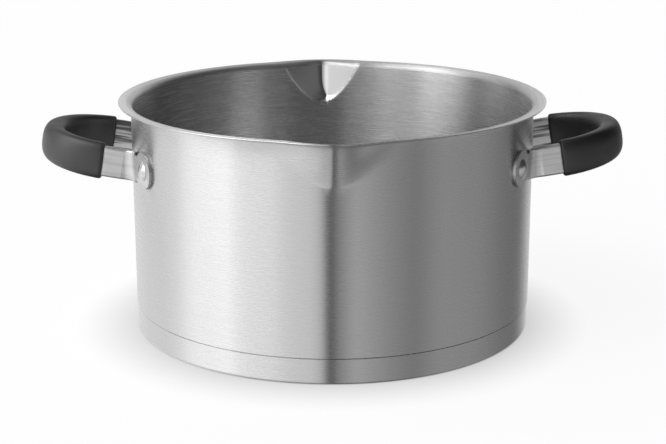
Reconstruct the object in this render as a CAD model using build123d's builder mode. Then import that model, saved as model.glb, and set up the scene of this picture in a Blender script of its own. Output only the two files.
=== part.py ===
from build123d import *
import os
from math import atan2, cos, radians, sin, sqrt, tan

# Stainless saucepot, open at the top, with a flared rim, two pouring spouts, a clad base and two
# side handles. Millimetres, +Z up, origin at the centre of the resting face. +X runs through the
# right handle and the front spout faces -Y.

# Pot body, one deep-drawn sheet
pot_inner_radius = 120.0
wall_sheet = 0.8
pot_height = 139.0
rim_overhang = 8.2
flare_radius = 3.0
flare_turn = 84.0
corner_radius = 9.0

# Clad base: an aluminium core closed in by a steel cap
cap_height = 15.0
cap_sheet = 0.6
cap_step = 0.55
cap_bend_radius = 1.0
core_thickness = 5.0
core_skirt_height = 4.5
base_fit = 0.05
joggle_height = 0.6

# Pouring spouts, two facets that meet in a crease
spout_depth = 27.0
spout_half_width = 26.0
spout_ridge_rise = 9.4
spout_reach = 4.6
spout_lip_half_width = 30.0
front_spout_angle = -89.2
rear_spout_angle = 93.5
spout_stations = 6
flare_stations = 4
spout_tuck_share = 0.15
spout_root_depth = 12.0

# Handle straps, one bent bar each with a round foot at both ends
strap_height = 18.3
strap_thickness = 4.0
strap_edge_radius = 1.7
loop_radius = 36.8
loop_centre_reach = 11.6
handle_tilt = 9.5
right_handle_drop = 32.2
left_handle_drop = 33.4
bend_radius = 8.0
bend_stations = 5
foot_radius = 10.7
foot_sheet = 1.8
foot_lead = 14.5
foot_lift = 0.8

# Welded studs that carry the feet
stud_radius = 2.5
stud_head_radius = 6.0
stud_head_height = 2.2
stud_fit = 0.1

# Grip sleeves drawn over the straps
grip_edge_cover = 1.75
grip_end_cover = 2.1
grip_middle_cover = 5.0
grip_corner_share = 0.42
grip_edge_radius = 1.0
grip_front_lead = 5.3
grip_rear_lead = 10.2
grip_stations = 12
grip_fit = 0.05

overrun = 5.0

# Worked out from the sizes above
wall_radius = pot_inner_radius + wall_sheet
rim_radius = pot_inner_radius + rim_overhang
flare_angle = radians(flare_turn)
flare_width = flare_radius * (1 - cos(flare_angle))
lip_width = (rim_overhang - flare_width) / sin(flare_angle)
flare_base = pot_height - flare_radius * sin(flare_angle) - lip_width * cos(flare_angle)
floor_under = cap_sheet + core_thickness
cap_edge_radius = cap_bend_radius + cap_sheet
cap_radius = wall_radius - cap_step
seat_radius = cap_radius - cap_sheet - base_fit
seat_top = cap_height + base_fit
spout_tip = pot_height - spout_depth
tilt = radians(handle_tilt)
grip_height = strap_height + 2 * grip_edge_cover
grip_end_thickness = strap_thickness + 2 * grip_end_cover
grip_middle_thickness = strap_thickness + 2 * grip_middle_cover


def flare_point(offset, angle):
    """Radius and height on the flared rim, offset outward through the sheet."""
    reach = flare_radius - offset
    return (pot_inner_radius + flare_radius - reach * cos(angle), flare_base + reach * sin(angle))


def vessel_profile(offset):
    """Half section of the vessel: offset 0 is the inner face, wall_sheet the outer one."""
    side = pot_inner_radius + offset
    seat = seat_radius - wall_sheet + offset
    floor = floor_under + wall_sheet - offset
    bend = corner_radius - wall_sheet + offset
    flare_start = flare_point(offset, 0)
    flare_middle = flare_point(offset, flare_angle / 2)
    flare_end = flare_point(offset, flare_angle)
    lip_run = lip_width if offset > 0 else lip_width + overrun
    lip_end = (flare_end[0] + lip_run * sin(flare_angle), flare_end[1] + lip_run * cos(flare_angle))
    top = pot_height if offset > 0 else pot_height + overrun
    top_radius = rim_radius if offset > 0 else lip_end[0]
    with BuildLine() as outline:
        Line((0, floor), (seat - bend, floor))
        RadiusArc((seat - bend, floor), (seat, floor + bend), -bend)
        Line((seat, floor + bend), (seat, seat_top))
        Line((seat, seat_top), (side, seat_top + joggle_height))
        Line((side, seat_top + joggle_height), flare_start)
        ThreePointArc(flare_start, flare_middle, flare_end)
        Line(flare_end, lip_end)
        Polyline(lip_end, (top_radius, top), (0, top), (0, floor))
    return outline


def spout_places(offset):
    """Heights of the spout's cross sections, each with the round radius that it grows out of."""
    places = []
    for station in range(1, spout_stations + 1):
        share = (station / spout_stations) ** 2
        places.append((spout_tip + share * (flare_base - spout_tip), pot_inner_radius + offset))
    for station in range(1, flare_stations + 1):
        radius, height = flare_point(offset, flare_angle * station / flare_stations)
        places.append((height, radius))
    last = places[-1][1]
    past_rim = pot_height + overrun if offset == 0 else pot_height - wall_sheet / 2
    places.append((past_rim, last))
    return places


def spout_body(angle, offset, mode):
    """Lofted wedge of one spout, added outside or cut inside."""
    crease_lean = sqrt(1 + (spout_ridge_rise / spout_depth) ** 2)
    sections = []
    for height, radius in spout_places(offset):
        share = (height - spout_tip) / spout_depth
        half_width = spout_half_width * sqrt(share)
        crease = pot_inner_radius + spout_ridge_rise * share + offset * crease_lean
        shoulder = sqrt(radius**2 - half_width**2)
        tuck = spout_tuck_share * half_width
        tuck_drop = spout_tuck_share * (crease - shoulder)
        root = pot_inner_radius - spout_root_depth
        with BuildSketch(Plane.XY.offset(height).rotated((0, 0, angle))) as section:
            with BuildLine():
                Polyline(
                    (crease, 0),
                    (shoulder - tuck_drop, half_width + tuck),
                    (root, half_width + tuck),
                    (root, -half_width - tuck),
                    (shoulder - tuck_drop, -half_width - tuck),
                    (crease, 0),
                )
            make_face()
        sections.append(section.sketch)
    loft(sections, ruled=True, mode=mode)


os.makedirs("parts", exist_ok=True)

with BuildPart() as pot_body:
    with BuildSketch(Plane.XZ):
        add(vessel_profile(wall_sheet).line)
        make_face()
    revolve(axis=Axis.Z)
    for spout_angle in (front_spout_angle, rear_spout_angle):
        spout_body(spout_angle, wall_sheet, Mode.ADD)
        lip_root = sqrt(rim_radius**2 - spout_lip_half_width**2)
        with BuildSketch(Plane.XY.offset(pot_height - wall_sheet).rotated((0, 0, spout_angle))):
            with BuildLine():
                ThreePointArc(
                    (lip_root, -spout_lip_half_width),
                    (rim_radius + spout_reach, 0),
                    (lip_root, spout_lip_half_width),
                )
                Line((lip_root, spout_lip_half_width), (lip_root, -spout_lip_half_width))
            make_face()
        extrude(amount=wall_sheet)
    with BuildSketch(Plane.XZ):
        add(vessel_profile(0).line)
        make_face()
    revolve(axis=Axis.Z, mode=Mode.SUBTRACT)
    for spout_angle in (front_spout_angle, rear_spout_angle):
        spout_body(spout_angle, 0, Mode.SUBTRACT)
pot_body.part.label = "pot_body"
export_step(pot_body.part, "parts/pot_body.step")

with BuildPart() as base_cap:
    with BuildSketch(Plane.XZ):
        with BuildLine():
            Polyline((cap_radius, 0), (0, 0), (0, cap_sheet), (cap_radius - cap_sheet, cap_sheet))
            Polyline(
                (cap_radius - cap_sheet, cap_sheet),
                (cap_radius - cap_sheet, cap_height),
                (cap_radius, cap_height),
                (cap_radius, 0),
            )
        make_face()
    revolve(axis=Axis.Z)
    fillet(base_cap.faces().sort_by(Axis.Z)[0].edges(), cap_edge_radius)
    fillet(base_cap.faces().filter_by(Axis.Z).sort_by(Axis.Z)[1].edges(), cap_bend_radius)
base_cap.part.label = "base_cap"
export_step(base_cap.part, "parts/base_cap.step")

with BuildPart() as base_core:
    with BuildSketch(Plane.XY.offset(cap_sheet)):
        Circle(cap_radius - cap_sheet - base_fit)
    extrude(amount=core_thickness + core_skirt_height)
    fillet(base_core.faces().sort_by(Axis.Z)[0].edges(), cap_edge_radius)
    with BuildSketch(Plane.XZ):
        with BuildLine():
            seat_side = Line((seat_radius, floor_under + corner_radius), (seat_radius, pot_height))
            RadiusArc((seat_radius - corner_radius, floor_under), seat_side @ 0, -corner_radius)
            Line((seat_radius - corner_radius, floor_under), (0, floor_under))
            Polyline((0, floor_under), (0, pot_height), seat_side @ 1)
        make_face()
    revolve(axis=Axis.Z, mode=Mode.SUBTRACT)
base_core.part.label = "base_core"
export_step(base_core.part, "parts/base_core.step")


def handle_plane(height):
    """Plane of one handle loop, tilted up from the pot wall, x outward."""
    return Plane(
        origin=(wall_radius, 0, height),
        x_dir=(cos(tilt), 0, sin(tilt)),
        z_dir=(-sin(tilt), 0, cos(tilt)),
    )


def loop_bar(height, start, thickness, width, edge_radius, mode=Mode.ADD):
    """Bar with rounded edges bent into a U, from start along its arms round the loop."""
    plane = handle_plane(height)
    with BuildLine(plane) as path:
        Line((start, -loop_radius), (loop_centre_reach, -loop_radius))
        CenterArc((loop_centre_reach, 0), loop_radius, -90, 180)
        Line((loop_centre_reach, loop_radius), (start, loop_radius))
    with BuildSketch(Plane(origin=path.line @ 0, x_dir=plane.y_dir, z_dir=plane.x_dir)) as section:
        RectangleRounded(thickness, width, edge_radius)
    sweep(section.sketch, path=path.line, mode=mode)


# The bend between a handle arm and its foot, seen from above
foot_line_radius = wall_radius + strap_thickness / 2
bend_centre_y = loop_radius + bend_radius
bend_centre_x = sqrt((foot_line_radius + bend_radius) ** 2 - bend_centre_y**2)
bend_azimuth = atan2(bend_centre_y, bend_centre_x)
bend_turn = radians(90) - bend_azimuth
foot_azimuth = bend_azimuth + foot_lead / foot_line_radius
bend_start = (bend_centre_x - wall_radius) / cos(tilt)


def bend_height(height, share):
    """Height of the bar's middle at a share of the bend."""
    fall = bend_radius * bend_turn * tan(tilt) * (share - share**2 / 2)
    return height + (bend_centre_x - wall_radius) * tan(tilt) - fall


def foot_plane(height, radius):
    """Plane square to the wall at the middle of a foot, x pointing back to the arm."""
    outward = (cos(foot_azimuth), -sin(foot_azimuth), 0)
    middle = bend_height(height, 1) + foot_lift
    return Plane(
        origin=(radius * outward[0], radius * outward[1], middle),
        x_dir=(sin(foot_azimuth), cos(foot_azimuth), 0),
        z_dir=outward,
    )


def bend_sections(height):
    """Rounded cross sections of the bar through its bend, thinning towards the foot."""
    sections = []
    for station in range(bend_stations + 1):
        share = station / bend_stations
        turn = bend_turn * share
        lean = tilt * (1 - share)
        thickness = strap_thickness + (foot_sheet - strap_thickness) * share
        reach = bend_radius + (strap_thickness - thickness) / 2
        plane = Plane(
            origin=(
                bend_centre_x - reach * sin(turn),
                -bend_centre_y + reach * cos(turn),
                bend_height(height, share),
            ),
            x_dir=(-sin(turn), cos(turn), 0),
            z_dir=(cos(turn) * cos(lean), sin(turn) * cos(lean), sin(lean)),
        )
        with BuildSketch(plane) as section:
            RectangleRounded(thickness, strap_height, strap_edge_radius * thickness / strap_thickness)
        sections.append(section.sketch)
    return sections


def foot_outline(height):
    """Outline of a foot: its disc and the neck that leads into the bend."""
    with BuildSketch(foot_plane(height, pot_inner_radius)) as outline:
        Circle(foot_radius)
        with Locations((foot_lead / 2, -foot_lift)):
            Rectangle(foot_lead, strap_height - 2 * strap_edge_radius)
    return outline.sketch


def foot_disc(height, radius):
    """Disc round the stud axis, in a plane square to the wall."""
    with BuildSketch(foot_plane(height, pot_inner_radius)) as disc:
        Circle(radius)
    return disc.sketch


def grip_sections(height):
    """Cross sections of the sleeve round the loop, thickest in its middle, short of both arms."""
    plane = handle_plane(height)
    first_turn = radians(grip_front_lead - 90)
    last_turn = radians(90 - grip_rear_lead)
    sections = []
    for station in range(grip_stations + 1):
        turn = first_turn + (last_turn - first_turn) * station / grip_stations
        thickness = grip_end_thickness + (grip_middle_thickness - grip_end_thickness) * cos(turn) ** 2
        across = plane.x_dir * cos(turn) + plane.y_dir * sin(turn)
        along = plane.y_dir * cos(turn) - plane.x_dir * sin(turn)
        middle = plane.origin + plane.x_dir * loop_centre_reach + across * loop_radius
        with BuildSketch(Plane(origin=middle, x_dir=across, z_dir=along)) as section:
            RectangleRounded(thickness, grip_height, thickness * grip_corner_share)
        sections.append(section.sketch)
    return sections


# Each handle is drawn on the right; the left one is mirrored over
for side, drop in (("right", right_handle_drop), ("left", left_handle_drop)):
    height = pot_height - drop
    with BuildPart() as foot:
        extrude(foot_outline(height), amount=foot_radius)
        with BuildSketch() as shell:
            Circle(wall_radius + foot_sheet)
            Circle(wall_radius, mode=Mode.SUBTRACT)
        extrude(shell.sketch, amount=pot_height, mode=Mode.INTERSECT)
        extrude(foot_disc(height, stud_radius + stud_fit), amount=foot_radius, mode=Mode.SUBTRACT)

    with BuildPart() as strap:
        loop_bar(height, bend_start, strap_thickness, strap_height, strap_edge_radius)
        loft(bend_sections(height))
        add(foot.part)
        mirror(about=Plane.XZ)
        if side == "left":
            mirror(about=Plane.YZ, mode=Mode.REPLACE)
    strap.part.label = f"handle_strap_{side}"
    export_step(strap.part, f"parts/handle_strap_{side}.step")

    head_base = wall_radius + foot_sheet
    dome_radius = (stud_head_radius**2 + stud_head_height**2) / (2 * stud_head_height)
    with BuildPart() as head:
        extrude(foot_disc(height, stud_head_radius), amount=head_base + stud_head_height - pot_inner_radius)
        with Locations(foot_plane(height, head_base + stud_head_height - dome_radius)):
            Sphere(dome_radius, mode=Mode.INTERSECT)
        with BuildSketch() as round_foot:
            Circle(head_base)
        extrude(round_foot.sketch, amount=pot_height, mode=Mode.SUBTRACT)

    with BuildPart() as studs:
        extrude(foot_disc(height, stud_radius), amount=head_base + stud_head_height / 2 - pot_inner_radius)
        with BuildSketch() as round_wall:
            Circle(wall_radius)
        extrude(round_wall.sketch, amount=pot_height, mode=Mode.SUBTRACT)
        add(head.part)
        mirror(about=Plane.XZ)
        if side == "left":
            mirror(about=Plane.YZ, mode=Mode.REPLACE)
    studs.part.label = f"handle_studs_{side}"
    export_step(studs.part, f"parts/handle_studs_{side}.step")

    with BuildPart() as grip:
        loft(grip_sections(height))
        ends = grip.faces().filter_by(GeomType.PLANE).sort_by(Axis.X)[0:2]
        fillet(ends.edges(), grip_edge_radius)
        loop_bar(
            height,
            loop_centre_reach - overrun,
            strap_thickness + 2 * grip_fit,
            strap_height + 2 * grip_fit,
            strap_edge_radius + grip_fit,
            Mode.SUBTRACT,
        )
        if side == "left":
            mirror(about=Plane.YZ, mode=Mode.REPLACE)
    grip.part.label = f"grip_{side}"
    export_step(grip.part, f"parts/grip_{side}.step")
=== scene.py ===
from math import atan2, cos, exp, hypot, pi, radians, sin, sqrt

import bmesh
import bpy
from mathutils import Matrix, Vector


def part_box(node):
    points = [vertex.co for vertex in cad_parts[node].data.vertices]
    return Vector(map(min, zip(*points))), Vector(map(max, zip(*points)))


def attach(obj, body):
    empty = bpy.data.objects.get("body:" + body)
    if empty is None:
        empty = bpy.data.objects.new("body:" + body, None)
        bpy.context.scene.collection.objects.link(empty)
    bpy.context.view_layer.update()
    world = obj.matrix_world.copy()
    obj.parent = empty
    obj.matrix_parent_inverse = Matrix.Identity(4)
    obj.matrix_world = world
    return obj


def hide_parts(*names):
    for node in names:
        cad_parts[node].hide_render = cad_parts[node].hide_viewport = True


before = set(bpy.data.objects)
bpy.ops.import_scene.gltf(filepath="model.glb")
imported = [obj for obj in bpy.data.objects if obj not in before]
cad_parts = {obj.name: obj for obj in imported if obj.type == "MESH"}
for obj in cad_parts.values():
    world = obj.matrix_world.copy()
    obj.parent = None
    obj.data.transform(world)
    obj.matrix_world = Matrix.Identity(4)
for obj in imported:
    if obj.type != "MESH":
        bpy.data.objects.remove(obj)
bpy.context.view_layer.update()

print("frame loaded")


# Shader writing: a Wire is a socket that can be added, multiplied and so on

class Wire:
    def __init__(self, bench, socket):
        self.bench = bench
        self.socket = socket

    def maths(self, operation, first, second=None):
        values = {0: first} if second is None else {0: first, 1: second}
        return self.bench.put("ShaderNodeMath", {"operation": operation}, values)

    def __add__(self, other):
        return self.maths("ADD", self, other)

    def __sub__(self, other):
        return self.maths("SUBTRACT", self, other)

    def __rsub__(self, other):
        return self.maths("SUBTRACT", other, self)

    def __mul__(self, other):
        return self.maths("MULTIPLY", self, other)

    def __truediv__(self, other):
        return self.maths("DIVIDE", self, other)

    def __pow__(self, other):
        return self.maths("POWER", self, other)

    def __abs__(self):
        return self.maths("ABSOLUTE", self)

    __radd__ = __add__
    __rmul__ = __mul__


class Bench:
    def __init__(self, tree):
        self.tree = tree
        tree.nodes.clear()

    def put(self, kind, settings=None, values=None, out=0):
        node = self.tree.nodes.new(kind)
        for name, value in (settings or {}).items():
            if name == "stops":
                self.setStops(node.color_ramp, value)
            else:
                setattr(node, name, value)
        for name, value in (values or {}).items():
            if isinstance(value, Wire):
                self.tree.links.new(value.socket, node.inputs[name])
            else:
                node.inputs[name].default_value = value
        return Wire(self, node.outputs[out]) if node.outputs else None

    def setStops(self, ramp, stops):
        while len(ramp.elements) < len(stops):
            ramp.elements.new(1)
        for element, (place, level) in zip(ramp.elements, stops):
            element.position = place
            element.color = (level, level, level, 1)

    def parts(self, vector):
        first = self.put("ShaderNodeSeparateXYZ", None, {0: vector})
        return [Wire(self, socket) for socket in first.socket.node.outputs]

    def attribute(self, name):
        return self.put("ShaderNodeAttribute", {"attribute_name": name}, out="Fac")

    def noise(self, vector, scale, detail, roughness):
        return self.put("ShaderNodeTexNoise", None,
                        {"Vector": vector, "Scale": scale, "Detail": detail,
                         "Roughness": roughness})

    def bump(self, height, strength, distance):
        return self.put("ShaderNodeBump", None,
                        {"Height": height, "Strength": strength, "Distance": distance})

    def spread(self, value, low, high, newLow, newHigh):
        # smooth step from low to high, given as newLow to newHigh
        settings = {"interpolation_type": "SMOOTHSTEP"}
        return self.put("ShaderNodeMapRange", settings,
                        {0: value, 1: low, 2: high, 3: newLow, 4: newHigh})

    def mixColour(self, share, first, second):
        # sockets 6, 7 and 2 are the colour ones of the Mix node
        settings = {"data_type": "RGBA"}
        return self.put("ShaderNodeMix", settings, {0: share, 6: first, 7: second}, 2)


def grey(level):
    return (level, level, level, 1)


def newMaterial(name):
    material = bpy.data.materials.new(name)
    material.use_nodes = True
    return material, Bench(material.node_tree)


# Studio: a white room whose light falls off from the left to the right

studio = {
    "floorSize": 6.0,
    "floorGlow": 0.90,  # seen by the camera only
    "floorColour": 0.12,
    "paintedContactShade": 0.65,  # painted shadow: the floor's glow is darkened round the pot's foot
    "contactReach": 0.04,
    # light level by azimuth in degrees, 0 in front of the pot and 90 on its right
    "table": [
        (-180, 0.93), (-160, 1.05), (-140, 1.2), (-128, 1.15), (-115, 1.0), (-104, 1.35),
        (-90, 1.45), (-75, 1.15), (-60, 1.3), (-44, 1.22), (-30, 1.1), (-12, 1.3), (-5.4, 1.15),
        (-3.6, 0.25), (-2.6, 0.03), (0, 0.03), (2.6, 0.55), (13, 1.0), (20, 0.86), (30, 0.68),
        (48, 0.40), (65, 0.62), (90, 0.54), (115, 0.34), (135, 0.24), (155, 0.82), (180, 1.03),
    ],
    "horizon": [
        (-180, 0.85), (-150, 0.7), (-130, 0.3), (-115, 1.4), (-106, 0.7), (-98, 0.4), (-90, 1.7),
        (-80, 2.8), (-60, 2.7), (-54, 1.1), (-40, 1.1), (-34, 1.5), (-22, 0.8), (-9, 0.6),
        (-4, 0.1), (1, 0.05), (10, 0.07), (36, 0.12), (44, 0.18), (56, 0.18), (64, 0.12),
        (75, 0.08), (130, 0.06), (150, 0.7), (170, 0.85), (180, 0.35),
    ],
    "lamps": [
        (-180, 0.7), (-150, 0.7), (-130, 0.4), (-115, 2.6), (-106, 1.0), (-98, 0.6), (-88, 3.8),
        (-76, 5.0), (-44, 5.0), (-34, 2.6), (-22, 1.2), (-10, 0.7), (-4, 0.05), (30, 0.05),
        (50, 0.08), (70, 0.04), (110, 0.04), (140, 0.15), (160, 0.45), (180, 0.5),
    ],
    "ceiling": 0.22,
    "nearTable": 0.12,
    # height of the view direction, -1 straight down and 1 straight up, where each band starts
    "heights": {
        "nearTable": (-0.95, -0.5),
        "horizon": (-0.03, 0.05),
        "lamps": (0.52, 0.68),
        "ceiling": (0.75, 0.95),
    },
}


def roomStops(levels):
    return [(turn / 360 + 0.5, level) for turn, level in levels]


def buildWorld():
    world = bpy.data.worlds.new("studioRoom")
    world.use_nodes = True
    bpy.context.scene.world = world
    bench = Bench(world.node_tree)
    x, y, z = bench.parts(bench.put("ShaderNodeTexCoord", out="Generated"))
    azimuth = x.maths("ARCTAN2", x, y * -1)
    place = azimuth / (2 * pi) + 0.5
    heights = studio["heights"]
    room = None
    for name in ("table", "horizon", "lamps"):
        band = bench.put("ShaderNodeValToRGB", {"stops": roomStops(studio[name])}, {0: place})
        if room is None:
            room = band
        else:
            room = bench.mixColour(bench.spread(z, *heights[name], 0.0, 1.0), room, band)
    above = bench.spread(z, *heights["ceiling"], 0.0, 1.0)
    room = bench.mixColour(above, room, grey(studio["ceiling"]))
    dim = bench.spread(z, *heights["nearTable"], 1 - studio["nearTable"], 0.0)
    room = bench.mixColour(dim, room, grey(0))
    rays = bench.put("ShaderNodeLightPath", out="Is Camera Ray")
    colour = bench.mixColour(rays, room, grey(1))
    shade = bench.put("ShaderNodeBackground", None, {"Color": colour, "Strength": 1.0})
    bench.put("ShaderNodeOutputWorld", None, {"Surface": shade})


def buildFloor():
    shape = bmesh.new()
    bmesh.ops.create_grid(shape, x_segments=2, y_segments=2, size=studio["floorSize"] / 2)
    floor = finishPiece(shape, "studioFloor", smooth=False)
    material, bench = newMaterial("paleFloor")
    matt = bench.put("ShaderNodeBsdfDiffuse", None, {"Color": grey(studio["floorColour"])})
    rays = bench.put("ShaderNodeLightPath", out="Is Camera Ray")
    clear = bench.put("ShaderNodeAmbientOcclusion", None,
                      {"Distance": studio["contactReach"]}, "AO")
    # painted shadow: ambient occlusion darkens the glow the camera sees round the pot's foot
    white = (1 - (1 - clear) * studio["paintedContactShade"]) * studio["floorGlow"]
    glow = bench.put("ShaderNodeEmission", None, {"Color": grey(1), "Strength": rays * white})
    both = bench.put("ShaderNodeAddShader", None, {0: matt, 1: glow})
    bench.put("ShaderNodeOutputMaterial", None, {"Surface": both})
    floor.data.materials.append(material)
    floor.visible_glossy = False


camera = {
    "place": (0.00063, -0.9322, 0.3194),
    "pitch": 74.463,
    "roll": 0.06,
    "lens": 84.83,
    "sensor": 36.0,
}


def buildCamera():
    data = bpy.data.cameras.new("photoCamera")
    data.lens = camera["lens"]
    data.sensor_width = camera["sensor"]
    data.sensor_fit = "HORIZONTAL"
    eye = bpy.data.objects.new("photoCamera", data)
    eye.location = camera["place"]
    eye.rotation_euler = (radians(camera["pitch"]), radians(camera["roll"]), 0)
    bpy.context.scene.collection.objects.link(eye)
    bpy.context.scene.camera = eye


def finishPiece(shape, name, smooth=True, sharpFrom=38):
    mesh = bpy.data.meshes.new(name)
    shape.to_mesh(mesh)
    shape.free()
    if smooth:
        mesh.shade_smooth()
        mesh.set_sharp_from_angle(angle=radians(sharpFrom))
    piece = bpy.data.objects.new(name, mesh)
    bpy.context.scene.collection.objects.link(piece)
    return piece


def placePiece(piece, node, material):
    piece.data.materials.append(material)
    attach(piece, "root")
    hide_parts(node)


# Materials. A noise is given as its scale, detail and roughness, a spread as two limits

steelFinish = {
    "dark": 0.612,
    "light": 0.633,
    "paintedInsideLight": 1.04,  # painted light: the inside is a little lighter in colour than the outside
    "toneSpread": (0.3, 0.7),
    "brushAlong": 45.0,
    "brushAcross": 2600.0,
    "brushNoise": (1.0, 2.0, 0.6),
    # a narrow and a wide highlight are mixed, by the wide one's share
    "narrowRough": (0.26, 0.28),
    "narrowSpread": (0.25, 0.75),
    "wideRough": 0.46,
    "wideShare": 0.42,
    "rolledShare": 0.45,
    "pressedRough": 0.45,  # the pressed facets are smoother, and inside they carry painted shade, a little darker
    "pressedPaintedShade": 0.9,
    "insideLines": 0.4,
    "bump": 0.04,
    "bumpDepth": 0.000006,
    "anisotropy": 1.0,
    "anisotropyTurn": 0.25,
}


def brushedSteel():
    s = steelFinish
    material, bench = newMaterial("brushedSteel")
    x, y, z = bench.parts(bench.put("ShaderNodeTexCoord", out="Object"))
    radius = (x * x + y * y) ** 0.5
    across = (z + radius) * s["brushAcross"]
    lines = bench.put("ShaderNodeCombineXYZ", None,
                      {0: x * s["brushAlong"], 1: y * s["brushAlong"], 2: across})
    fine = bench.noise(lines, *s["brushNoise"])
    pressed, inside, rolled = [bench.attribute(name) for name in ("pressed", "inside", "rolled")]
    level = bench.spread(fine, *s["toneSpread"], s["dark"], s["light"])
    # painted light: the inside of the sheet gets a lighter colour than the outside
    level *= 1 + inside * (s["paintedInsideLight"] - 1)
    # painted shade: the pressed facets inside the pot are darker
    level *= 1 - pressed * inside * (1 - s["pressedPaintedShade"])
    level *= 1 + inside * (1 - pressed) * (fine - 0.5) * s["insideLines"]
    colour = bench.mixColour(level, grey(0), grey(1))
    narrow = bench.spread(fine, *s["narrowSpread"], *s["narrowRough"])
    relief = bench.bump(fine, s["bump"], s["bumpDepth"])
    smoothing = 1 - pressed * inside * (1 - s["pressedRough"])
    lobes = []
    for rough in (narrow * smoothing, s["wideRough"] * smoothing):
        lobes.append(bench.put("ShaderNodeBsdfPrincipled", None, {
            "Base Color": colour, "Metallic": 1.0, "Roughness": rough, "Normal": relief,
            "Anisotropic": s["anisotropy"], "Anisotropic Rotation": s["anisotropyTurn"],
        }))
    wide = (s["wideShare"] + rolled * s["rolledShare"]) * (1 - pressed * inside)
    shade = bench.put("ShaderNodeMixShader", None, {0: wide, 1: lobes[0], 2: lobes[1]})
    bench.put("ShaderNodeOutputMaterial", None, {"Surface": shade})
    return material


polishFinish = {
    "colour": 0.60,
    "strap": (0.36, 0.44),
    "stud": (0.20, 0.28),
    "grain": (900.0, 3.0, 0.6),
    "grainSpread": (0.3, 0.7),
    "waveNoise": (60.0, 1.0, 0.4),
    "wave": 0.08,
    "waveDepth": 0.0004,
    # drawn lines along the bar, faint everywhere; on the face towards the loop they deepen into
    # dark bands of painted reflection
    "lineAcross": 420.0,
    "lineAlong": 22.0,
    "lineNoise": (1.0, 2.0, 0.5),
    "lineSpread": (0.42, 0.56),
    "lineDepth": 0.12,
    "paintedBandDepth": 0.78,
    "innerFrom": (0.0364, 0.0372),
    "crevice": 0.0022,  # painted shade: corners closer than this are darker
    "creviceSpread": (0.35, 0.85),
    "paintedCreviceShade": 0.3,
}


def polishedSteel(name):
    s = polishFinish
    material, bench = newMaterial(name + "Steel")
    place = bench.put("ShaderNodeTexCoord", out="Object")
    rough = bench.spread(bench.noise(place, *s["grain"]), *s["grainSpread"], *s[name])
    relief = bench.bump(bench.noise(place, *s["waveNoise"]), s["wave"], s["waveDepth"])
    x, y, z = bench.parts(place)
    across = z * cos(grip["tilt"]) - abs(x) * sin(grip["tilt"])
    along = bench.put("ShaderNodeCombineXYZ", None,
                      {0: x * s["lineAlong"], 1: y * s["lineAlong"], 2: across * s["lineAcross"]})
    lines = bench.spread(bench.noise(along, *s["lineNoise"]), *s["lineSpread"], 1.0, 0.0)
    # painted reflection: on the face towards the loop the lines become deep dark bands
    paintedBandMask = bench.spread(abs(y), *s["innerFrom"], 1.0, 0.0)
    drawn = 1 - lines * (s["lineDepth"] + paintedBandMask * (s["paintedBandDepth"] - s["lineDepth"]))
    # painted shade: ambient occlusion darkens the colour in corners and gaps
    clear = bench.put("ShaderNodeAmbientOcclusion", None, {"Distance": s["crevice"]}, "AO")
    level = bench.spread(clear, *s["creviceSpread"], s["paintedCreviceShade"], 1.0) * drawn * s["colour"]
    shade = bench.put("ShaderNodeBsdfPrincipled", None, {
        "Base Color": bench.mixColour(level, grey(0), grey(1)), "Metallic": 1.0,
        "Roughness": rough, "Normal": relief,
    })
    bench.put("ShaderNodeOutputMaterial", None, {"Surface": shade})
    return material


siliconeFinish = {
    "dark": 0.005,
    "light": 0.008,
    "specular": 0.85,
    "ior": 1.5,
    "cloud": (45.0, 2.0, 0.5),
    "rough": (0.42, 0.54),
    "roughSpread": (0.3, 0.7),
    "grain": (1600.0, 3.0, 0.6),
    "bump": 0.25,
    "bumpDepth": 0.00005,
}


def blackSilicone():
    s = siliconeFinish
    material, bench = newMaterial("blackSilicone")
    place = bench.put("ShaderNodeTexCoord", out="Object")
    cloud = bench.noise(place, *s["cloud"])
    shade = bench.put("ShaderNodeBsdfPrincipled", None, {
        "Base Color": bench.mixColour(cloud, grey(s["dark"]), grey(s["light"])),
        "Roughness": bench.spread(cloud, *s["roughSpread"], *s["rough"]),
        "Normal": bench.bump(bench.noise(place, *s["grain"]), s["bump"], s["bumpDepth"]),
        "Specular IOR Level": s["specular"], "IOR": s["ior"],
    })
    bench.put("ShaderNodeOutputMaterial", None, {"Surface": shade})
    return material


# A half section drawn as vertices joined by edges, ready for a spin about the pot's axis

def drawProfile(shape, points):
    vertices = [shape.verts.new(point) for point in points]
    edges = [shape.edges.new(pair) for pair in zip(vertices, vertices[1:])]
    return vertices, edges


def spinProfile(shape, profile, turn, steps):
    fullTurn = turn == 2 * pi
    spun = bmesh.ops.spin(shape, geom=profile, cent=(0, 0, 0), axis=(0, 0, 1), angle=turn,
                          steps=steps, use_merge=fullTurn)
    return spun["geom_last"]


# Pot body: one sheet, spun from its half section, with two spouts pressed out

potShell = {
    "innerRadius": 0.120,
    "sheet": 0.0008,
    "height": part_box("pot_body")[1].z,
    "seatRadius": 0.1196,
    "cornerRadius": 0.009,
    "seatTop": 0.01505,
    "joggle": 0.0006,  # step in the wall over the cap
    "rimRadius": 0.1282,
    "flareRadius": 0.003,
    "flareTurn": radians(84),
    "cornerSteps": 8,
    "wallSteps": 24,
    "flareSteps": 16,
    "lipSteps": 3,
    "edgeSteps": 6,
    # share of the wide highlight added on the lip and on the inner flare
    "lipRolled": -0.8,
    "flareRolled": 1,
    "coarseStep": radians(1.3),
    "fineStep": radians(0.2),
    "joinGap": 1e-6,
}
potShell["floorTop"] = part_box("pot_body")[0].z + potShell["sheet"]

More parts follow.
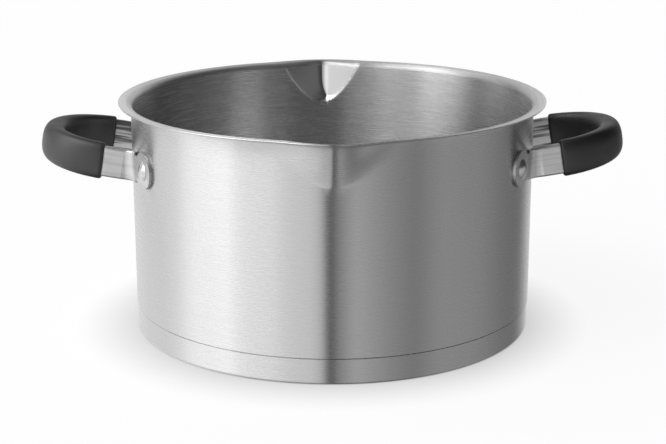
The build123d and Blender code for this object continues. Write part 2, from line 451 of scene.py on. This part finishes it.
spout = {
    "depth": 0.027,  # from the rim down to the tip of the facets
    "halfWidth": 0.026,
    "ridgeRise": 0.0094,  # how far the ridge stands out at the rim
    "reach": 0.0046,  # how far the rim's lip stands out
    "lipHalfWidth": 0.030,
    "spread": radians(20),  # turn to each side that is worked on
    "leastShare": 0.0005,
    "marginBelow": 0.0045,  # last plain row of the wall under the tip
    "driftPower": 5,
    "driftLimit": 1 / 3,
    "rootShare": 2.2,
    "softShare": 1.6,
    "lipSoft": 0.0022,
    "fold": 0.0009,
    "front": {
        "angle": radians(-89.2),
        "bluntness": 1.1,  # above 1 the ridge curls out towards the rim
        "nose": 0.010,  # half width of the rounded ridge
        "noseShape": 2.3,
        "noseFade": 0,  # above 0 the ridge sharpens towards the tip
        "drift": 0,  # how far the tip lies to one side
        "innerSoft": 0.0010,  # rounding of the facets' edges, inside and outside
        "outerSoft": 0.0040,
    },
    "rear": {
        "angle": radians(93.5),
        "bluntness": 0.6,
        "nose": 0.0035,
        "noseShape": 2,
        "noseFade": 0.5,
        "drift": 0.007,
        "innerSoft": 0.0004,
        "outerSoft": 0.0022,
    },
}


def flareFoot():
    # height where the wall starts to turn out
    p = potShell
    return p["height"] - p["flareRadius"] * sin(p["flareTurn"]) - lipRun() * cos(p["flareTurn"])


def flarePoint(offset, turn):
    p = potShell
    bend = p["flareRadius"] - offset
    return (p["innerRadius"] + p["flareRadius"] - bend * cos(turn), flareFoot() + bend * sin(turn))


def lipRun():
    # length of the straight lip past the flare
    p = potShell
    flareWidth = p["flareRadius"] * (1 - cos(p["flareTurn"]))
    return (p["rimRadius"] - p["sheet"] / 2 - p["innerRadius"] - flareWidth) / sin(p["flareTurn"])


def sheetRows(offset):
    # radius, height and share of the lip, from the centre of the floor out to the rim
    p = potShell
    side = p["innerRadius"] + offset
    seat = p["seatRadius"] - p["sheet"] + offset
    floor = p["floorTop"] - offset
    bend = p["cornerRadius"] - p["sheet"] + offset
    rows = [(0, floor, 0), ((seat - bend) / 2, floor, 0)]
    for step in range(p["cornerSteps"] + 1):
        turn = radians(90) * step / p["cornerSteps"]
        rows.append((seat - bend + bend * sin(turn), floor + bend * (1 - cos(turn)), 0))
    rows.append((seat, p["seatTop"], 0))
    wallFoot = p["seatTop"] + p["joggle"]
    rows.append((side, wallFoot, 0))
    rows.append((side, wallFoot + p["joggle"], 0))
    tip = p["height"] - spout["depth"]
    rows.append((side, tip - spout["marginBelow"], 0))
    for step in range(p["wallSteps"]):
        rows.append((side, tip + (flareFoot() - tip) * step / p["wallSteps"], 0))
    for step in range(p["flareSteps"] + 1):
        rows.append((*flarePoint(offset, p["flareTurn"] * step / p["flareSteps"]), 0))
    endRadius, endHeight, _ = rows[-1]
    across, up = sin(p["flareTurn"]) * lipRun(), cos(p["flareTurn"]) * lipRun()
    for step in range(1, p["lipSteps"] + 1):
        share = step / p["lipSteps"]
        rows.append((endRadius + across * share, endHeight + up * share, share))
    return rows


def smoothMax(first, second, soft):
    # the larger of two, rounded where they are closer than soft
    near = max(soft - abs(first - second), 0)
    return max(first, second) + near * near / (4 * soft)


def noseFall(aside, nose, power):
    # fall of a facet from its ridge, level over the nose and straight beyond it
    return (aside**power + nose**power) ** (1 / power) - nose


def facetRadius(radius, roundRadius, share, lean, turn, press):
    # radius on the two flat facets from the ridge to the round wall, None well beside them
    halfWidth = spout["halfWidth"] * sqrt(share)
    crease = potShell["innerRadius"] + spout["ridgeRise"] * share ** press["bluntness"] + lean
    shoulder = sqrt(roundRadius**2 - halfWidth**2)
    nose = press["nose"] * share ** press["noseFade"]
    drift = press["drift"] * (1 - share) ** spout["driftPower"]
    drift = min(drift, halfWidth * spout["driftLimit"])
    aside = radius * sin(turn) + drift
    reach = halfWidth + (drift if aside > 0 else -drift)
    fall = noseFall(abs(aside), nose, press["noseShape"])
    fall /= noseFall(reach, nose, press["noseShape"])
    if abs(aside) > spout["rootShare"] * halfWidth:
        return None  # past here the facet's plane would cut the round wall again
    return (crease - (crease - shoulder) * fall) / cos(turn)


def lipRadius(turn):
    # the rim's radius, drawn out in a flat arc over the spout
    p = potShell
    rimFull = p["rimRadius"] + spout["reach"]
    rise = rimFull - sqrt(p["rimRadius"] ** 2 - spout["lipHalfWidth"] ** 2)
    arc = (spout["lipHalfWidth"] ** 2 + rise**2) / (2 * rise)
    middle = rimFull - arc
    drawn = middle * cos(turn) + sqrt(max(arc**2 - (middle * sin(turn)) ** 2, 0))
    return smoothMax(p["rimRadius"], drawn, spout["lipSoft"])


def spoutRadius(radius, height, lip, offset, turn, press):
    # pushed radius, and how far the point lies inside a facet
    p = potShell
    share = (height - (p["height"] - spout["depth"])) / spout["depth"]
    if share <= spout["leastShare"] or abs(turn) > spout["spread"]:
        return radius, 0
    endRadius, endHeight = flarePoint(offset, p["flareTurn"])
    pushed = roundRadius = min(radius, endRadius) if lip else radius
    lean = offset * sqrt(1 + (spout["ridgeRise"] / spout["depth"]) ** 2)
    facet = facetRadius(radius, roundRadius, share, lean, turn, press)
    if facet is not None:
        soft = press["innerSoft"] if offset < p["sheet"] / 2 else press["outerSoft"]
        pushed = smoothMax(roundRadius, facet, soft * min(1, spout["softShare"] * share))
    gain = min(max((pushed - roundRadius) / spout["fold"], 0), 1)
    # the sheet folds out a little more where the facets meet the lip
    pushed += gain * spout["fold"] * exp(min(0, height - endHeight) / spout["fold"])
    if not lip:
        return pushed, gain
    drawn = lipRadius(turn) - p["rimRadius"]
    return pushed + radius - endRadius + lip * (endRadius + drawn - pushed), 0


def spinSectors(shape, first):
    # fine columns round the spouts and coarse ones between them, then the seam is closed
    p = potShell
    front, rear = spout["front"]["angle"], spout["rear"]["angle"]
    spread = spout["spread"]
    sectors = [
        (2 * spread, p["fineStep"]),
        (rear - front - 2 * spread, p["coarseStep"]),
        (2 * spread, p["fineStep"]),
        (2 * pi - (rear - front) - 2 * spread, p["coarseStep"]),
    ]
    edge = first
    for turn, step in sectors:
        edge = spinProfile(shape, edge, turn, 2 * round(turn / step / 2))
    bmesh.ops.remove_doubles(shape, verts=shape.verts, dist=p["joinGap"])


def rimRows(top, low):
    # half round edge of the sheet between the ends of its two faces
    p = potShell
    top, low = Vector(top[:2]), Vector(low[:2])
    middle = (top + low) / 2
    rows = []
    for step in range(1, p["edgeSteps"]):
        share = step / p["edgeSteps"]
        arm = Matrix.Rotation(-pi * share, 2) @ (top - middle)
        rows.append((middle.x + arm.x, middle.y + arm.y, 1, p["sheet"] * share))
    return rows


def rolledShare(height, lip, offset):
    # sharper highlight on the lip, softer one on the inner flare
    if lip:
        return potShell["lipRolled"]
    return potShell["flareRolled"] if height > flareFoot() and offset == 0 else 0


def buildPotBody():
    p = potShell
    shape = bmesh.new()
    layerNames = ("offset", "lip", "pressed", "inside", "rolled")
    layers = {name: shape.verts.layers.float.new(name) for name in layerNames}
    inner = [row + (0,) for row in sheetRows(0)]
    outer = [row + (p["sheet"],) for row in sheetRows(p["sheet"])]
    section = inner + rimRows(inner[-1], outer[-1]) + outer[::-1]
    start = spout["front"]["angle"] - spout["spread"]
    points = [(row[0] * cos(start), row[0] * sin(start), row[1]) for row in section]
    vertices, edges = drawProfile(shape, points)
    for vertex, (_, height, lip, offset) in zip(vertices, section):
        vertex[layers["offset"]] = offset
        vertex[layers["lip"]] = lip
        vertex[layers["inside"]] = 1 if offset < p["sheet"] / 4 else 0
        vertex[layers["rolled"]] = rolledShare(height, lip, offset)
    spinSectors(shape, vertices + edges)
    for vertex in shape.verts:
        x, y, z = vertex.co
        radius = hypot(x, y)
        lip, offset = vertex[layers["lip"]], vertex[layers["offset"]]
        for press in (spout["front"], spout["rear"]):
            turn = (atan2(y, x) - press["angle"] + pi) % (2 * pi) - pi
            if abs(turn) < spout["spread"] and radius > p["innerRadius"] / 2:
                pushed, facet = spoutRadius(radius, z, lip, offset, turn, press)
                vertex[layers["pressed"]] = facet if z < flareFoot() else 0
                vertex.co = Vector((x * pushed / radius, y * pushed / radius, z))
    bmesh.ops.recalc_face_normals(shape, faces=shape.faces)
    return finishPiece(shape, "potBody")


# Cap of the clad base

capShape = {
    "radius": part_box("base_cap")[1].x,
    "height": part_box("base_cap")[1].z,
    "sheet": 0.0006,
    "edgeRadius": 0.0016,
    "lipRadius": 0.00015,
    "wallFoot": 0.0024,
    "rings": (0, 0.5, 0.9),
    "edgeSteps": 8,
    "columns": 288,
    "joinGap": 1e-6,
}


def buildBaseCap():
    s = capShape
    radius, bend, sheet, lip = s["radius"], s["edgeRadius"], s["sheet"], s["lipRadius"]
    rows = [(radius * share, 0) for share in s["rings"]]
    for step in range(s["edgeSteps"] + 1):
        turn = radians(90) * step / s["edgeSteps"]
        rows.append((radius - bend + bend * sin(turn), bend * (1 - cos(turn))))
    rows += [
        (radius, s["wallFoot"]), (radius, s["height"] - lip * 2), (radius, s["height"] - lip),
        (radius - lip, s["height"]), (radius - sheet, s["height"]), (radius - sheet, bend),
        (radius - bend, sheet), (0, sheet),
    ]
    shape = bmesh.new()
    vertices, edges = drawProfile(shape, [(across, 0, height) for across, height in rows])
    spinProfile(shape, vertices + edges, 2 * pi, s["columns"])
    bmesh.ops.remove_doubles(shape, verts=shape.verts, dist=s["joinGap"])
    bmesh.ops.recalc_face_normals(shape, faces=shape.faces)
    return finishPiece(shape, "baseCap")


# Grip sleeves: a rounded section spun round the loop, thicker in the middle, ends closed

grip = {
    "wallRadius": 0.1208,
    "heights": {"right": 0.1068, "left": 0.1056},
    "tilt": radians(9.5),  # the loops rise outwards
    "centreReach": 0.0116,  # from the wall to the loop's centre
    "loopRadius": 0.0368,
    "height": 0.0218,
    "endThickness": 0.0082,
    "middleThickness": 0.0140,
    "squareness": 2.6,
    "frontLead": radians(5.3),  # where the sleeve ends short of a half turn
    "rearLead": radians(10.2),
    "endRadius": 0.0016,
    "endSteps": 5,
    "socketDepth": 0.003,  # how far the sleeve's mouth is modelled inwards
    "strapThickness": 0.0041,
    "strapHeight": 0.0184,
    "ringPoints": 56,
    "steps": 72,
    "joinGap": 1e-7,
}


def handlePlace(side):
    g = grip
    tilt = Matrix.Rotation(-g["tilt"], 4, "Y")
    lift = Matrix.Translation((g["wallRadius"], 0, g["heights"][side]))
    mirror = Matrix.Scale(-1, 4, (1, 0, 0)) if side == "left" else Matrix.Identity(4)
    return mirror @ lift @ tilt


def superEllipse(turn, width, height, power):
    # power 2 is an ellipse, and higher ones come closer to a rectangle
    across = abs(cos(turn)) ** (2 / power) * (1 if cos(turn) >= 0 else -1)
    up = abs(sin(turn)) ** (2 / power) * (1 if sin(turn) >= 0 else -1)
    return across * width / 2, up * height / 2


def gripPoint(turn, across, up):
    g = grip
    reach = g["loopRadius"] + across
    return Vector((g["centreReach"] + reach * cos(turn), reach * sin(turn), up))


def buildGrip(side):
    g = grip
    first, last = g["frontLead"] - pi / 2, pi / 2 - g["rearLead"]
    shape = bmesh.new()
    ring = []
    for point in range(g["ringPoints"]):
        turn = 2 * pi * point / g["ringPoints"]
        across, up = superEllipse(turn, g["endThickness"], g["height"], g["squareness"])
        ring.append(shape.verts.new(gripPoint(first, across, up)))
    loop = [shape.edges.new((ring[i - 1], ring[i])) for i in range(len(ring))]
    spun = bmesh.ops.spin(shape, geom=ring + loop, cent=(g["centreReach"], 0, 0), axis=(0, 0, 1),
                          angle=last - first, steps=g["steps"])
    lastLoop = [part for part in spun["geom_last"] if isinstance(part, bmesh.types.BMEdge)]
    for vertex in shape.verts:
        x, y, z = vertex.co
        turn = atan2(y, x - g["centreReach"])
        across = hypot(x - g["centreReach"], y) - g["loopRadius"]
        growth = 1 + (g["middleThickness"] / g["endThickness"] - 1) * cos(turn) ** 2
        vertex.co = gripPoint(turn, across * growth, z)
    closeGripEnd(shape, loop, first, -1)
    closeGripEnd(shape, lastLoop, last, 1)
    bmesh.ops.remove_doubles(shape, verts=shape.verts, dist=g["joinGap"])
    bmesh.ops.transform(shape, matrix=handlePlace(side), verts=shape.verts)
    bmesh.ops.recalc_face_normals(shape, faces=shape.faces)
    return finishPiece(shape, "grip" + side.capitalize())


def closeGripEnd(shape, edges, turn, way):
    # rounded end, then a flat face in to the strap and a short wall down into the sleeve
    g = grip
    bend = g["endRadius"]
    middle = gripPoint(turn, 0, 0)
    outward = Vector((cos(turn), sin(turn), 0))
    along = Vector((-sin(turn), cos(turn), 0)) * way
    stages = []
    for step in range(1, g["endSteps"] + 1):
        angle = radians(90) * step / g["endSteps"]
        inset = 2 * bend * (1 - cos(angle))
        stages.append((bend * sin(angle), 1 - inset / g["endThickness"], 1 - inset / g["height"]))
    fitWidth = g["strapThickness"] / g["endThickness"]
    fitHeight = g["strapHeight"] / g["height"]
    stages += [(bend, fitWidth, fitHeight), (-g["socketDepth"], fitWidth, fitHeight)]
    reached = (0, 1, 1)
    for ahead, wide, high in stages:
        grown = bmesh.ops.extrude_edge_only(shape, edges=edges)
        edges = [part for part in grown["geom"] if isinstance(part, bmesh.types.BMEdge)]
        points = [part for part in grown["geom"] if isinstance(part, bmesh.types.BMVert)]
        for vertex in points:
            arm = vertex.co - middle
            width = arm.dot(outward) * (wide / reached[1] - 1)
            vertex.co += along * (ahead - reached[0]) + outward * width
            vertex.co.z = arm.z * high / reached[2]
        reached = (ahead, wide, high)


buildCamera()
buildWorld()
buildFloor()
print("camera, room and floor made")

steel = brushedSteel()
polish = {name: polishedSteel(name) for name in ("strap", "stud")}
silicone = blackSilicone()
print("materials made")

placePiece(buildPotBody(), "pot_body", steel)
placePiece(buildBaseCap(), "base_cap", steel)
print("pot body and base cap made")

for side in ("right", "left"):
    placePiece(buildGrip(side), "grip_" + side, silicone)
    for node, name in (("handle_strap_", "strap"), ("handle_studs_", "stud")):
        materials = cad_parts[node + side].data.materials
        materials.clear()
        materials.append(polish[name])
print("grips made, straps and studs finished")

scene = bpy.context.scene
scene.view_settings.view_transform = "Standard"
